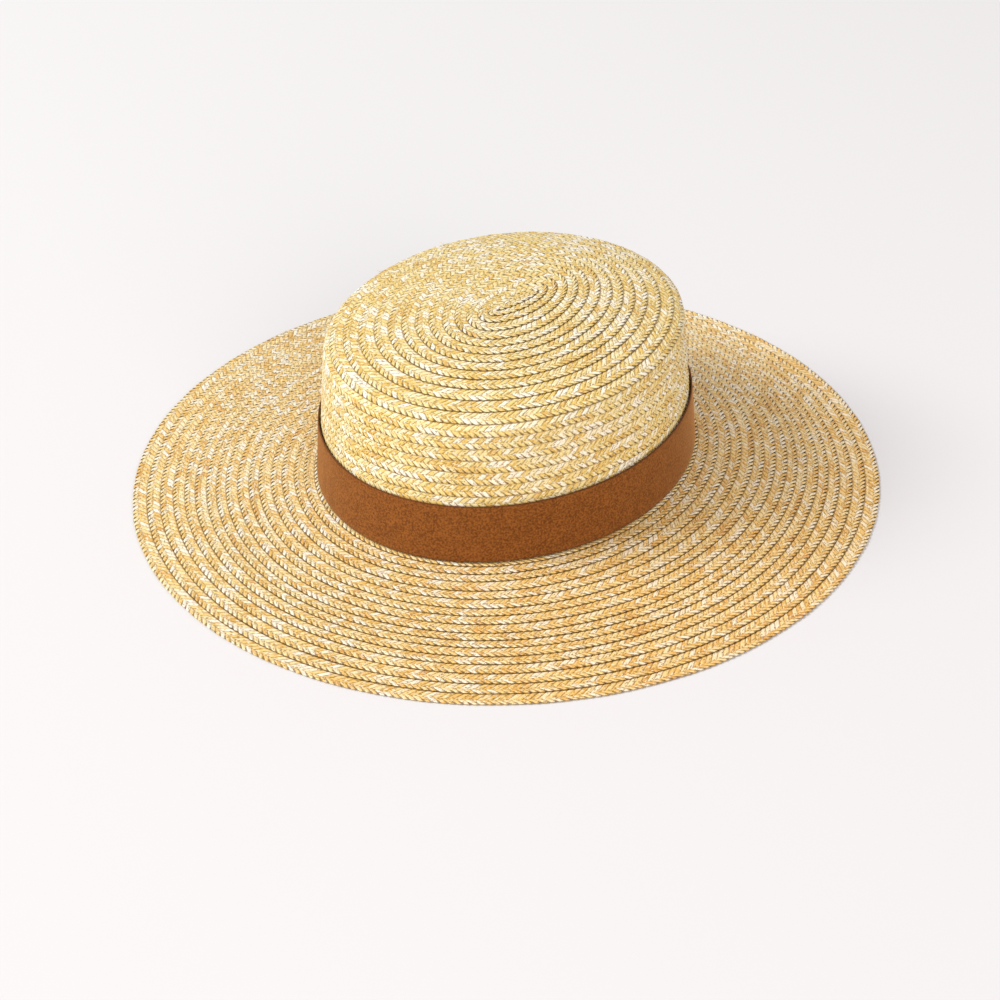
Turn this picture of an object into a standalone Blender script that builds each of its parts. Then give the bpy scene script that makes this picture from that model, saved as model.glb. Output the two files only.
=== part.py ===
"""Flat-top straw hat: a sewn braid crown and brim with a plain ribbon round the crown.

Units are metres. +Z is up, the wearer looks towards -Y and the floor is Z = 0.
The origin lies on the floor under the middle of the brim.
"""

import math

import bmesh
import bpy
from mathutils import Matrix, Vector

# Sizes of the crown, measured outside over the rows of braid
CROWN_WIDTH = 0.1734
CROWN_LENGTH = 0.2010
CROWN_TOP = 0.0935
FOOT_HEIGHT = 0.0130
WALL_TAPER = math.radians(4.9)
TIP_DISH = math.radians(2.8)
TIP_SLOPE = math.radians(18.3)
EDGE_RADIUS = 0.0065

# Sizes of the brim
BRIM_WIDTH = 0.0909
RIM_FLAT_WIDTH = 0.0066
RIM_EASE_LENGTH = 0.022

# Sizes of the straw braid
STRAW_WALL = 0.0018
ROW_LIP = 0.0007
INNER_ROW_PITCH = 0.0044
WALL_ROW_PITCH = 0.0065
BRIM_ROW_PITCH = 0.0058

# The crown leans a little towards its front and its right side
LEAN_FRONT = math.radians(1.9)
LEAN_SIDE = math.radians(1.4)

# Sizes of the ribbon
BAND_HEIGHT = 0.0284
BAND_THICKNESS = 0.0010
BAND_TOP_STANDOFF = 0.0009
BAND_LAP = 0.016
BAND_LAP_RAMP = 0.020

# Clearance between pieces that touch on the real hat
GAP = 0.0003

# Corners round each oval, sections of the ribbon at its lap, rings along the inner
# faces and steps of the rounded lines
OVAL_SIDES = 52
LAP_SECTIONS = 4
INNER_RINGS = 13
UNDER_RINGS = 7
TIP_STEPS = 12
EDGE_STEPS = 6
EASE_STEPS = 6
SHARP_ANGLE = math.radians(30)

# Colours and roughness of the materials
STRAW_COLOUR = (0.78, 0.62, 0.34, 1.0)
BRIM_COLOUR = (0.75, 0.57, 0.30, 1.0)
RIBBON_COLOUR = (0.26, 0.10, 0.035, 1.0)
STRAW_ROUGHNESS = 0.5
RIBBON_ROUGHNESS = 0.85

HALF_WIDTH = CROWN_WIDTH / 2
BAR_HALF = (CROWN_LENGTH - CROWN_WIDTH) / 2
BASE_HALF_WIDTH = HALF_WIDTH - ROW_LIP
INNER_HALF_WIDTH = BASE_HALF_WIDTH - STRAW_WALL


def clear_scene():
    """Remove every object that the new file starts with."""
    for item in list(bpy.data.objects):
        bpy.data.objects.remove(item, do_unlink=True)


def make_material(name, colour, roughness):
    """Return a plain material for one piece."""
    material = bpy.data.materials.new(name)
    material.use_nodes = True
    shader = material.node_tree.nodes["Principled BSDF"]
    shader.inputs["Base Color"].default_value = colour
    shader.inputs["Roughness"].default_value = roughness
    shader.inputs["Metallic"].default_value = 0.0
    material.diffuse_color = colour
    return material


def walk(path, length, start_angle, turn, steps):
    """Extend a path of (half width, height) by a straight run or an arc.

    The angle is the dip below level of the direction of travel, and turn is how much
    it grows over the length.
    """
    half, height = path[-1]
    for step in range(steps):
        angle = start_angle + turn * (step + 0.5) / steps
        half += math.cos(angle) * length / steps
        height -= math.sin(angle) * length / steps
        path.append((half, height))


def crown_meridian():
    """Return the base line of the crown and the distance along it to the end of the tip.

    Each point is (half width of the oval, height), from the middle of the tip to the
    foot. The tip dips slightly in the middle, its slope grows evenly outwards, and it
    turns over a rounded edge into the straight side wall. The lengths of the tip and
    the wall follow from the crown's half width and height.
    """
    wall_angle = math.pi / 2 - WALL_TAPER
    edge_turn = wall_angle - TIP_SLOPE
    dome_turn = TIP_SLOPE + TIP_DISH
    middle = CROWN_TOP - ROW_LIP
    unit_dome = [(0.0, 0.0)]
    walk(unit_dome, 1.0, -TIP_DISH, dome_turn, TIP_STEPS)
    edge = [(0.0, 0.0)]
    walk(edge, EDGE_RADIUS * edge_turn, TIP_SLOPE, edge_turn, EDGE_STEPS)
    dome_run, dome_rise = unit_dome[-1]
    edge_run, edge_rise = edge[-1]
    run = BASE_HALF_WIDTH - edge_run
    fall = middle - FOOT_HEIGHT - GAP + edge_rise
    scale = dome_run * math.sin(wall_angle) + dome_rise * math.cos(wall_angle)
    dome_length = (run * math.sin(wall_angle) - fall * math.cos(wall_angle)) / scale
    wall_length = (dome_run * fall + dome_rise * run) / scale
    path = [(0.0, middle)]
    walk(path, dome_length, -TIP_DISH, dome_turn, TIP_STEPS)
    walk(path, EDGE_RADIUS * edge_turn, TIP_SLOPE, edge_turn, EDGE_STEPS)
    walk(path, wall_length, wall_angle, 0.0, 1)
    return path, dome_length + EDGE_RADIUS * edge_turn


def brim_meridian():
    """Return the base line of the brim's upper face from the crown to the rim."""
    collar_height = FOOT_HEIGHT - ROW_LIP
    slope_run = BRIM_WIDTH - RIM_FLAT_WIDTH - RIM_EASE_LENGTH
    slope = (collar_height - STRAW_WALL) / (slope_run + RIM_EASE_LENGTH / 2)
    path = [(INNER_HALF_WIDTH, collar_height), (HALF_WIDTH, collar_height)]
    slope_end = (HALF_WIDTH + slope_run, collar_height - slope * slope_run)
    path.append(slope_end)
    for step in range(1, EASE_STEPS + 1):
        share = step / EASE_STEPS
        fall = slope * RIM_EASE_LENGTH * (share - share * share / 2)
        path.append((slope_end[0] + share * RIM_EASE_LENGTH, slope_end[1] - fall))
    path.append((HALF_WIDTH + BRIM_WIDTH, STRAW_WALL))
    return path


def lengths_along(path):
    """Return the distance of each point of a path from its start."""
    distances = [0.0]
    for first, second in zip(path, path[1:]):
        distances.append(distances[-1] + math.dist(first, second))
    return distances


def at_length(path, distance):
    """Return the point of a path at a distance and the outward normal there."""
    distances = lengths_along(path)
    place = 1
    while place < len(path) - 1 and distances[place] < distance:
        place += 1
    first, second = path[place - 1], path[place]
    span = distances[place] - distances[place - 1]
    share = min(max((distance - distances[place - 1]) / span, 0.0), 1.0)
    point = (first[0] + share * (second[0] - first[0]), first[1] + share * (second[1] - first[1]))
    run = (second[0] - first[0]) / span
    rise = (second[1] - first[1]) / span
    return point, (-rise, run)


def offset_point(path, distance, offset):
    """Return a point of a path moved along the outward normal."""
    point, normal = at_length(path, distance)
    return (point[0] + normal[0] * offset, point[1] + normal[1] * offset)


def row_edges(start, end, first_pitch, last_pitch):
    """Return the edges of rows of braid whose pitch grows evenly from first to last."""
    count = max(1, round(2 * (end - start) / (first_pitch + last_pitch)))
    growth = (last_pitch - first_pitch) / (2 * count)
    reach = first_pitch * count + growth * count * count
    edges = []
    for row in range(count + 1):
        share = (first_pitch * row + growth * row * row) / reach
        edges.append(start + (end - start) * share)
    return edges


def row_sections(path, edges):
    """Return the stepped profile of the rows of braid between the given edges.

    Each row leaves the base line at its inner edge and stands a lip proud of it at its
    outer edge, where it laps over the next row.
    """
    sections = []
    for inner, outer in zip(edges, edges[1:]):
        sections.append(offset_point(path, inner, 0.0))
        sections.append(offset_point(path, outer, ROW_LIP))
    return sections


def lean_about_foot(point, share):
    """Lean a point with the crown by a share of the whole lean."""
    pivot = Vector((0.0, 0.0, FOOT_HEIGHT))
    turn = Matrix.Rotation(LEAN_FRONT, 3, "X") @ Matrix.Rotation(-LEAN_SIDE, 3, "Y")
    leaned = pivot + turn @ (point - pivot)
    return point.lerp(leaned, share)


def brim_lean_share(half):
    """Return how much the brim follows the crown's lean at a half width."""
    run = BRIM_WIDTH - RIM_FLAT_WIDTH
    share = min(max((half - HALF_WIDTH) / run, 0.0), 1.0)
    return 1.0 - share * share * (3.0 - 2.0 * share)


def oval_point(half, height, angle, lean_share):
    """Return a point on the oval of a half width, at an angle from the right side."""
    flat = Vector((half * math.cos(angle), (half + BAR_HALF) * math.sin(angle), height))
    return lean_about_foot(flat, lean_share)


def oval_ring(mesh, half, height, lean_share):
    """Add one ring of corners to a mesh."""
    ring = []
    for side in range(OVAL_SIDES):
        angle = 2 * math.pi * side / OVAL_SIDES
        ring.append(mesh.verts.new(oval_point(half, height, angle, lean_share)))
    return ring


def skin(mesh, rings, closed):
    """Join rings of equal count by quads, and the last to the first if closed."""
    pairs = list(zip(rings, rings[1:]))
    if closed:
        pairs.append((rings[-1], rings[0]))
    for first, second in pairs:
        count = len(first)
        for side in range(count):
            after = (side + 1) % count
            mesh.faces.new((first[side], first[after], second[after], second[side]))


def finish_piece(mesh, name, material, collection):
    """Turn a mesh into a named object with one closed, outward-facing skin."""
    bmesh.ops.recalc_face_normals(mesh, faces=mesh.faces)
    data = bpy.data.meshes.new(name)
    mesh.to_mesh(data)
    mesh.free()
    data.materials.append(material)
    data.shade_smooth()
    data.set_sharp_from_angle(angle=SHARP_ANGLE)
    piece = bpy.data.objects.new(name, data)
    collection.objects.link(piece)
    return piece


def build_crown(collection):
    """Build the tip and side wall as one shell, open below."""
    path, tip_length = crown_meridian()
    total = lengths_along(path)[-1]
    centre = INNER_ROW_PITCH / 2
    tip_edges = row_edges(centre, tip_length, INNER_ROW_PITCH, WALL_ROW_PITCH)
    wall_edges = row_edges(tip_length, total, WALL_ROW_PITCH, WALL_ROW_PITCH)
    outside = row_sections(path, tip_edges) + row_sections(path, wall_edges)
    foot = path[-1][1]
    outside[-1] = (outside[-1][0], foot)
    inside = [(outside[-1][0] - ROW_LIP - STRAW_WALL, foot)]
    for ring in range(1, INNER_RINGS + 1):
        distance = total + (INNER_ROW_PITCH - total) * ring / INNER_RINGS
        inside.append(offset_point(path, distance, -STRAW_WALL))
    mesh = bmesh.new()
    rings = [oval_ring(mesh, half, height, 1.0) for half, height in outside + inside]
    skin(mesh, rings, closed=False)
    mesh.faces.new(rings[0])
    mesh.faces.new(rings[-1])
    straw = make_material("crown_straw", STRAW_COLOUR, STRAW_ROUGHNESS)
    return finish_piece(mesh, "crown", straw, collection)


def build_brim(collection):
    """Build the brim as one closed ring, flat below along its rim."""
    path = brim_meridian()
    distances = lengths_along(path)
    collar = distances[1]
    outside = [(INNER_HALF_WIDTH, FOOT_HEIGHT), (HALF_WIDTH, FOOT_HEIGHT)]
    edges = row_edges(collar, distances[-1], BRIM_ROW_PITCH, BRIM_ROW_PITCH)
    outside += row_sections(path, edges)
    outer = HALF_WIDTH + BRIM_WIDTH
    outside[-1] = (outer, outside[-1][1])
    inner_end = distances[-1] - RIM_FLAT_WIDTH
    under = [(outer, 0.0), (outer - RIM_FLAT_WIDTH, 0.0)]
    for ring in range(1, UNDER_RINGS):
        distance = inner_end + (collar - inner_end) * ring / (UNDER_RINGS - 1)
        point, _ = at_length(path, distance)
        under.append((point[0], point[1] - STRAW_WALL))
    under.append((INNER_HALF_WIDTH, under[-1][1]))
    mesh = bmesh.new()
    rings = []
    for half, height in outside + under:
        rings.append(oval_ring(mesh, half, height, brim_lean_share(half)))
    skin(mesh, rings, closed=True)
    straw = make_material("brim_straw", BRIM_COLOUR, STRAW_ROUGHNESS)
    return finish_piece(mesh, "brim", straw, collection)


def band_section(angle, lift):
    """Return the four corners of the ribbon's section at an angle from the right side."""
    foot = FOOT_HEIGHT + GAP
    top = foot + BAND_HEIGHT
    foot_half = HALF_WIDTH + GAP + lift
    top_half = HALF_WIDTH - BAND_HEIGHT * math.tan(WALL_TAPER) + BAND_TOP_STANDOFF + lift
    corners = [
        (foot_half, foot),
        (top_half, top),
        (top_half + BAND_THICKNESS, top),
        (foot_half + BAND_THICKNESS, foot),
    ]
    return [oval_point(half, height, angle, 1.0) for half, height in corners]


def build_hatband(collection):
    """Build the ribbon as one strip that laps over itself at the middle of the back."""
    back = math.pi / 2
    around = HALF_WIDTH + BAR_HALF / 2
    lap_angle = BAND_LAP / around
    ramp_angle = BAND_LAP_RAMP / around
    full_lift = BAND_THICKNESS + GAP
    angles = [(0.0, 0.0), (lap_angle, 0.0)]
    plain_end = 2 * math.pi - ramp_angle
    plain_steps = OVAL_SIDES - LAP_SECTIONS
    for step in range(1, plain_steps + 1):
        angles.append((lap_angle + (plain_end - lap_angle) * step / plain_steps, 0.0))
    angles.append((2 * math.pi - ramp_angle / 2, full_lift / 2))
    angles.append((2 * math.pi, full_lift))
    angles.append((2 * math.pi + lap_angle, full_lift))
    mesh = bmesh.new()
    sections = []
    for turn, lift in angles:
        corners = band_section(back + turn, lift)
        sections.append([mesh.verts.new(corner) for corner in corners])
    skin(mesh, sections, closed=False)
    mesh.faces.new(sections[0])
    mesh.faces.new(sections[-1])
    ribbon = make_material("hatband_ribbon", RIBBON_COLOUR, RIBBON_ROUGHNESS)
    return finish_piece(mesh, "hatband", ribbon, collection)


def build_hat():
    """Build the three pieces of the hat."""
    clear_scene()
    collection = bpy.data.collections.new("flat_top_straw_hat")
    bpy.context.scene.collection.children.link(collection)
    build_crown(collection)
    build_brim(collection)
    build_hatband(collection)


build_hat()
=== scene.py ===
"""Flat-top straw hat of sewn straw braid, dressed for a pale studio picture.

Units are metres, +Z is up, the front of the hat is at -Y and the floor is Z = 0.
"""

from __future__ import annotations

import logging
import math
from dataclasses import dataclass
from enum import Enum

import bpy
import numpy as np
from mathutils import Matrix, Vector


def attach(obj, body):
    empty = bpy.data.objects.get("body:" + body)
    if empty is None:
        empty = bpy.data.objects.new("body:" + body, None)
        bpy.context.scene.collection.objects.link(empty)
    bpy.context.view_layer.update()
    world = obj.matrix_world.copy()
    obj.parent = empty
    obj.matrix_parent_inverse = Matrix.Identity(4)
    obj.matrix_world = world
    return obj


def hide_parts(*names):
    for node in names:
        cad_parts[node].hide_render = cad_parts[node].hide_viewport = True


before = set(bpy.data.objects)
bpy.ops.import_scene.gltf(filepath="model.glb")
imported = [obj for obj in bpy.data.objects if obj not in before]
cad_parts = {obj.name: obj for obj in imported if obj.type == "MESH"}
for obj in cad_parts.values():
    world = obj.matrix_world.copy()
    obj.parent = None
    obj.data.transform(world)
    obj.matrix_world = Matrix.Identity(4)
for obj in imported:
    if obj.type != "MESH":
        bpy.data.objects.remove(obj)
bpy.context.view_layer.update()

LOG = logging.getLogger("straw_hat")
MILLIMETRE = 0.001
FULL_TURN = 2 * math.pi

Pair = tuple[float, float]
Place = tuple[float, float, float]
Colour = tuple[float, float, float]


class Anchor(Enum):
    """What a corner of the braid's section is measured from, across the row."""

    INNER = "hidden inner edge"
    START = "line where the row comes out from under its neighbour"
    SEAM = "line where the two rows of slanted straws meet"
    EDGE = "outer edge"


class Zone(Enum):
    """Which row of slanted straws a corner of the braid's section belongs to."""

    UPPER = "straws nearer the middle of the hat"
    LOWER = "straws nearer the rim"
    EVEN = "between the two"


@dataclass(frozen=True)
class Station:
    """One corner of the braid's section.

    offset is measured across the row from the anchor, level is the height above the
    upper face, relief is the share of the furrow's depth, mark is the pattern's
    coordinate across the row and side is 0 on the upper face and 1 on the lower one.
    """

    anchor: Anchor
    zone: Zone
    offset: float
    level: float
    relief: float
    mark: float
    side: float


@dataclass(frozen=True)
class PlaitColumn:
    """One of the columns of corners that make a straw's visible cell."""

    even: float
    upper: float
    upper_furrow: float
    lower: float
    lower_furrow: float


def smooth_step(value: np.ndarray, start: float, end: float) -> np.ndarray:
    """Return a smooth ramp from 0 at start to 1 at end.

    Args:
        value: Where the ramp is read.
        start: Where the ramp leaves 0.
        end: Where the ramp reaches 1.

    Returns:
        The ramp at each value.
    """
    share = np.clip((value - start) / (end - start), 0.0, 1.0)
    return share * share * (3.0 - 2.0 * share)


def wander(position: np.ndarray, reach: float, seed: int) -> np.ndarray:
    """Return a smooth random wander between about -1 and 1 along a length.

    Args:
        position: Distances along the length.
        reach: Distance between the wander's turning points.
        seed: Seed of the random values.

    Returns:
        The wander at each position.
    """
    random = np.random.default_rng(seed)
    count = int(np.max(position) / reach) + 4
    values = random.uniform(-1.0, 1.0, count)
    place = np.clip(position / reach, 0.0, count - 2.0)
    before = place.astype(int)
    share = smooth_step(place - before, 0.0, 1.0)
    return values[before] * (1.0 - share) + values[before + 1] * share


@dataclass(frozen=True)
class BaseLine:
    """The line that rows of braid follow from the middle of the hat outwards."""

    half: np.ndarray
    height: np.ndarray

    def lengths(self) -> np.ndarray:
        """Return the distance of each point of the line from its start."""
        steps = np.hypot(np.diff(self.half), np.diff(self.height))
        return np.concatenate([[0.0], np.cumsum(steps)])

    def at(self, distance: np.ndarray, offset: np.ndarray) -> tuple[np.ndarray, np.ndarray]:
        """Return half widths and heights beside the line.

        Args:
            distance: Distance along the line. Negative ones are mirrored where the line
                starts in the middle of the hat, and read as its start elsewhere.
            offset: Distance from the line along its outward normal.

        Returns:
            The half widths and the heights.
        """
        lengths = self.lengths()
        if self.half[0] > 0.0:
            distance = np.maximum(distance, 0.0)
        mirror = np.where(distance < 0.0, -1.0, 1.0)
        along = np.abs(distance)
        past = np.maximum(along - lengths[-1], 0.0)
        half = np.interp(along, lengths, self.half)
        height = np.interp(along, lengths, self.height)
        run = np.interp(along, lengths, np.gradient(self.half, lengths))
        rise = np.interp(along, lengths, np.gradient(self.height, lengths))
        half = mirror * (half + past * run - rise * offset)
        return half, height + past * rise + run * offset


@dataclass(frozen=True)
class HatShape:
    """The sizes that every piece of the hat shares.

    The rows of the tip's middle are shifted by middle_shift, turned by middle_twist and
    lengthened by middle_bar, and this fades out over shift_reach and twist_reach.
    """

    crown_width: float = 0.1734
    crown_length: float = 0.2010
    crown_top: float = 0.0935
    foot_height: float = 0.0130
    wall_taper: float = math.radians(4.9)
    tip_dish: float = math.radians(2.8)
    tip_slope: float = math.radians(18.3)
    edge_radius: float = 0.0065
    brim_width: float = 0.0909
    rim_flat_width: float = 0.0066
    rim_ease_length: float = 0.022
    rim_trim: float = 0.0009
    straw_wall: float = 0.0018
    row_lip: float = 0.0007
    lean_front: float = math.radians(2.08)
    lean_side: float = math.radians(1.34)
    crown_shift: Pair = (-0.0011, -0.0007)
    gap: float = 0.0003
    tip_steps: int = 90
    edge_steps: int = 24
    wall_steps: int = 40
    middle_shift: Pair = (0.0058, 0.0005)
    shift_reach: float = 0.099
    middle_bar: float = -0.0030
    middle_twist: float = math.radians(-16.6)
    twist_reach: float = 0.028

    @property
    def half_width(self) -> float:
        """Return half the crown's width over the rows of braid."""
        return self.crown_width / 2

    @property
    def bar_half(self) -> float:
        """Return half of what the oval is longer than it is wide."""
        return (self.crown_length - self.crown_width) / 2

    @property
    def base_half_width(self) -> float:
        """Return the half width of the crown's base line at its foot."""
        return self.half_width - self.row_lip

    @property
    def inner_half_width(self) -> float:
        """Return the half width of the head opening."""
        return self.base_half_width - self.straw_wall

    @staticmethod
    def walk(path: list, length: float, start: float, turn: float, steps: int) -> None:
        """Extend a path of (half width, height) by a straight run or an arc.

        Args:
            path: The points so far, extended in place.
            length: Length of the run.
            start: Dip below level at the start of the run.
            turn: How much the dip grows over the run.
            steps: Number of points added.
        """
        half, height = path[-1]
        for step in range(steps):
            angle = start + turn * (step + 0.5) / steps
            half += math.cos(angle) * length / steps
            height -= math.sin(angle) * length / steps
            path.append((half, height))

    def crown_line(self) -> BaseLine:
        """Find the crown's base line.

        Returns:
            The line from the middle of the tip to the foot.
        """
        wall_angle = math.pi / 2 - self.wall_taper
        edge_turn = wall_angle - self.tip_slope
        dome_turn = self.tip_slope + self.tip_dish
        middle = self.crown_top - self.row_lip
        unit_dome = [(0.0, 0.0)]
        self.walk(unit_dome, 1.0, -self.tip_dish, dome_turn, self.tip_steps)
        edge = [(0.0, 0.0)]
        self.walk(edge, self.edge_radius * edge_turn, self.tip_slope, edge_turn, self.edge_steps)
        dome_run, dome_rise = unit_dome[-1]
        edge_run, edge_rise = edge[-1]
        run = self.base_half_width - edge_run
        fall = middle - self.foot_height - self.gap + edge_rise
        scale = dome_run * math.sin(wall_angle) + dome_rise * math.cos(wall_angle)
        dome_length = (run * math.sin(wall_angle) - fall * math.cos(wall_angle)) / scale
        wall_length = (dome_run * fall + dome_rise * run) / scale
        path = [(0.0, middle)]
        self.walk(path, dome_length, -self.tip_dish, dome_turn, self.tip_steps)
        self.walk(path, self.edge_radius * edge_turn, self.tip_slope, edge_turn, self.edge_steps)
        self.walk(path, wall_length, wall_angle, 0.0, self.wall_steps)
        points = np.array(path)
        return BaseLine(points[:, 0], points[:, 1])

    def brim_line(self, rim_drop: float) -> BaseLine:
        """Return the brim's base line from the head opening to the rim.

        Args:
            rim_drop: How far the rim lies below the solid's upper face.

        Returns:
            The line, in even steps.
        """
        step = MILLIMETRE / 2
        inner = self.inner_half_width
        outer = self.half_width + self.brim_width - self.rim_trim
        half = np.linspace(inner, outer, int((outer - inner) / step))
        out = np.maximum(half - self.half_width, 0.0)
        slope_run = self.brim_width - self.rim_flat_width - self.rim_ease_length
        collar = self.foot_height - self.row_lip
        slope = (collar - self.straw_wall) / (slope_run + self.rim_ease_length / 2)
        ease = np.clip((out - slope_run) / self.rim_ease_length, 0.0, 1.0)
        height = collar - slope * np.minimum(out, slope_run)
        height -= slope * self.rim_ease_length * (ease - ease * ease / 2)
        height -= rim_drop * smooth_step(out, slope_run, self.brim_width - self.rim_flat_width)
        return BaseLine(half, height)

    def brim_lean_share(self, half: np.ndarray) -> np.ndarray:
        """Return how much the brim follows the crown's lean at each half width."""
        return 1.0 - smooth_step(half - self.half_width, 0.0, self.brim_width - self.rim_flat_width)

    def oval(self, half: np.ndarray, height: np.ndarray, angle: np.ndarray) -> np.ndarray:
        """Return points on level ovals round the hat's axis.

        Args:
            half: Half width of the oval that each point lies on.
            height: Height of each point.
            angle: Angle round the oval from the right side.

        Returns:
            The points, one in each row.
        """
        across = half * np.cos(angle)
        along = (half + self.bar_half) * np.sin(angle)
        return np.stack([across, along, height], axis=-1)

    def tip_oval(self, half: np.ndarray, height: np.ndarray, angle: np.ndarray,
                 distance: np.ndarray) -> np.ndarray:
        """Return points on level ovals whose middle is turned and lies off the axis.

        Args:
            half: Half width of the oval that each point lies on.
            height: Height of each point.
            angle: Angle round the oval from the right side.
            distance: Distance of each point from the middle along the base line.

        Returns:
            The points, one in each row.
        """
        near = 1.0 - smooth_step(np.abs(distance), 0.0, self.twist_reach)
        moved = 1.0 - smooth_step(np.abs(distance), 0.0, self.shift_reach)
        twist = self.middle_twist * near
        across = half * np.cos(angle)
        along = (half + self.bar_half + self.middle_bar * near) * np.sin(angle)
        turned_across = across * np.cos(twist) - along * np.sin(twist)
        turned_along = across * np.sin(twist) + along * np.cos(twist)
        turned_across = turned_across + self.middle_shift[0] * moved
        turned_along = turned_along + self.middle_shift[1] * moved
        return np.stack([turned_across, turned_along, height], axis=-1)

    def lean(self, flat: np.ndarray, share: np.ndarray) -> np.ndarray:
        """Return points leaned and shifted with the crown.

        Args:
            flat: The points on level ovals.
            share: Share of the crown's lean that each point takes.

        Returns:
            The moved points.
        """
        pivot = np.array([0.0, 0.0, self.foot_height])
        turn = Matrix.Rotation(self.lean_front, 3, "X") @ Matrix.Rotation(-self.lean_side, 3, "Y")
        leaned = (flat - pivot) @ np.array(turn).T + pivot + np.array([*self.crown_shift, 0.0])
        return flat + (leaned - flat) * share[..., None]


SHAPE = HatShape()


@dataclass(frozen=True)
class Spiral:
    """Where the inner edge of the braid runs, turn by turn.

    turns and edges are a table of the distance of the row's inner edge along the base
    line at each turn. A stepped spiral keeps each row level and moves outwards by one
    row in a short stretch of every turn.
    """

    line: BaseLine
    turns: np.ndarray
    edges: np.ndarray
    start_angle: float
    last_edge: float
    stepped: bool = False
    step_start: float = 0.72

    def inner(self, turn: np.ndarray) -> np.ndarray:
        """Return the distance of the row's inner edge along the base line.

        Args:
            turn: Turns along the spiral.

        Returns:
            The distance at each turn.
        """
        if self.stepped:
            whole = np.floor(turn)
            turn = whole + smooth_step(turn - whole, self.step_start, 1.0)
        return np.interp(turn, self.turns, self.edges)

    def outer(self, turn: np.ndarray) -> np.ndarray:
        """Return the distance of the row's outer edge at each turn."""
        return np.minimum(self.inner(turn + 1.0), self.last_edge)

    def angle(self, turn: np.ndarray) -> np.ndarray:
        """Return the angle round the oval at each turn."""
        return self.start_angle + FULL_TURN * turn


@dataclass(frozen=True)
class Plait:
    """The flat straw plait that the whole hat is sewn from.

    lip is how high the outer edge stands over the inner one, which lies hidden for the
    width of the overlap, and flat_share of the lip is lost at the rim. furrow is the
    depth between two straws and dome the share of it that a straw's sides are lower.
    bead is how deep the outer edge is cut back between two straws, where the straws
    leave bead_room for it, and front_bead is the share that is left of it at the front.
    Rows narrower than least_row have their section drawn together.
    """

    cell_length: float = 0.0032
    thickness: float = 0.0007
    lip: float = 0.00058
    overlap: float = 0.0016
    lower_width: float = 0.0029
    lower_share: float = 0.5
    furrow: float = 0.00036
    bead: float = 0.0010
    bead_room: float = 0.0013
    front_bead: float = 0.35
    front_angle: float = math.radians(-60)
    front_span: Pair = (0.2, 0.8)
    dome: float = 0.22
    dome_notch: float = 0.25
    flat_share: float = 0.7
    jitter: float = 0.00007
    edge_wander: float = 0.00016
    wander_reach: float = 0.011
    least_row: float = 0.003
    columns: tuple[PlaitColumn, ...] = (
        PlaitColumn(even=0.0, upper=0.0, upper_furrow=1.0, lower=0.0, lower_furrow=0.0),
        PlaitColumn(even=0.25, upper=0.16, upper_furrow=0.0, lower=0.34, lower_furrow=0.0),
        PlaitColumn(even=0.5, upper=0.5, upper_furrow=0.0, lower=0.5, lower_furrow=1.0),
        PlaitColumn(even=0.75, upper=0.84, upper_furrow=0.0, lower=0.66, lower_furrow=0.0),
    )

    def stations(self) -> tuple[Station, ...]:
        """List the corners of the section.

        Returns:
            The corners, once round the braid.
        """
        low = -self.thickness
        return (
            Station(Anchor.INNER, Zone.EVEN, 0.0, -0.00015, 0.0, -0.5, 0.0),
            Station(Anchor.START, Zone.UPPER, 0.0003, 0.0, 1.0, 0.05, 0.0),
            Station(Anchor.SEAM, Zone.UPPER, -0.0005, 0.0, 1.0, 0.85, 0.0),
            Station(Anchor.SEAM, Zone.EVEN, 0.0, -0.0002, 0.0, 1.0, 0.0),
            Station(Anchor.SEAM, Zone.LOWER, 0.0005, 0.0, 1.0, 1.17, 0.0),
            Station(Anchor.EDGE, Zone.LOWER, -0.0006, 0.0, 1.0, 1.8, 0.0),
            Station(Anchor.EDGE, Zone.LOWER, 0.0, -0.00022, 1.0, 2.0, 0.2),
            Station(Anchor.EDGE, Zone.LOWER, -0.0003, -0.0006, 0.2, 2.0, 0.6),
            Station(Anchor.EDGE, Zone.LOWER, -0.0010, low, -0.3, 1.7, 1.0),
            Station(Anchor.SEAM, Zone.EVEN, 0.0, low + 0.0001, 0.0, 1.0, 1.0),
            Station(Anchor.INNER, Zone.UPPER, 0.0006, low, -0.3, -0.3, 1.0),
            Station(Anchor.INNER, Zone.EVEN, -0.0002, low / 2, 0.0, -0.5, 0.5),
        )


@dataclass(frozen=True)
class Corners:
    """The corners along the braid that belong to one zone, place by place.

    position counts cells along the braid, furrow is the share of the furrow's depth,
    lift the straws' random lift and notch the share of the bead that is cut back.
    """

    position: np.ndarray
    furrow: np.ndarray
    lift: np.ndarray
    notch: np.ndarray


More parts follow.
